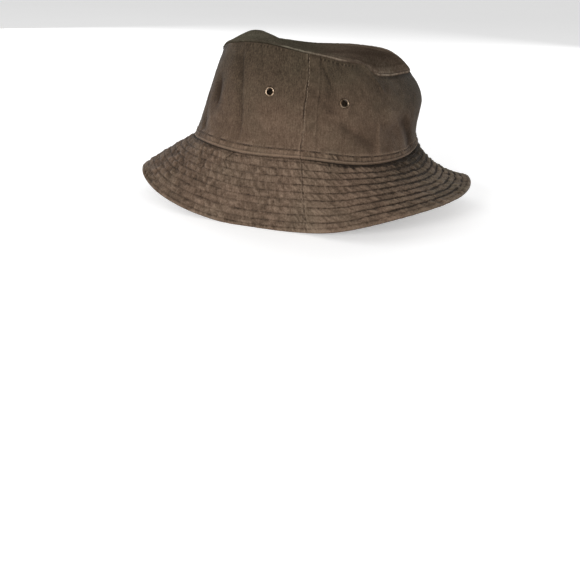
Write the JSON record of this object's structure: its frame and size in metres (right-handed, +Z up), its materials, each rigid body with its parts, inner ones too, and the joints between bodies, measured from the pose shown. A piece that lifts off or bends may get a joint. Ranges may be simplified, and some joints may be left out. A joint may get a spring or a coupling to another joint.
{
  "type": "bucket hat",
  "caption": "Soft washed-twill bucket hat with a stitched, drooping brim, side seams, brass vent eyelets and an inner sweatband.",
  "frame": {"origin": "middle of the hat's footprint, on the surface that its hem stands on", "axes": "+Z up, X along the head's length and Y across it; -Y is the near side, with one pair of eyelets"},
  "size_m": [0.3068, 0.2342, 0.1522],
  "materials": {
    "crown_twill": "soft washed cotton twill, matt",
    "brim_twill": "soft washed cotton twill, matt, worn lighter on its stitched ridges",
    "interlining": "woven stiffener, undyed",
    "sweatband_twill": "plain twill, matt",
    "bias_tape": "plain woven tape, matt",
    "label_satin": "satin tape, blank",
    "antique_brass": "antique brass, bright on the worn edge",
    "washer_brass": "plain brass"
  },
  "bodies": {
    "root": {"crown_tip": "crown_twill", "crown_side_left": "crown_twill", "crown_side_right": "crown_twill", "brim_top_left": "brim_twill", "brim_top_right": "brim_twill", "brim_under_left": "brim_twill", "brim_under_right": "brim_twill", "brim_interlining_left": "interlining", "brim_interlining_right": "interlining", "sweatband": "sweatband_twill", "tip_seam_tape": "bias_tape", "side_seam_tape_near": "bias_tape", "side_seam_tape_far": "bias_tape", "size_label": "label_satin", "eyelet_near_left": "antique_brass", "eyelet_washer_near_left": "washer_brass", "eyelet_near_right": "antique_brass", "eyelet_washer_near_right": "washer_brass", "eyelet_far_left": "antique_brass", "eyelet_washer_far_left": "washer_brass", "eyelet_far_right": "antique_brass", "eyelet_washer_far_right": "washer_brass"}
  },
  "joints": []
}
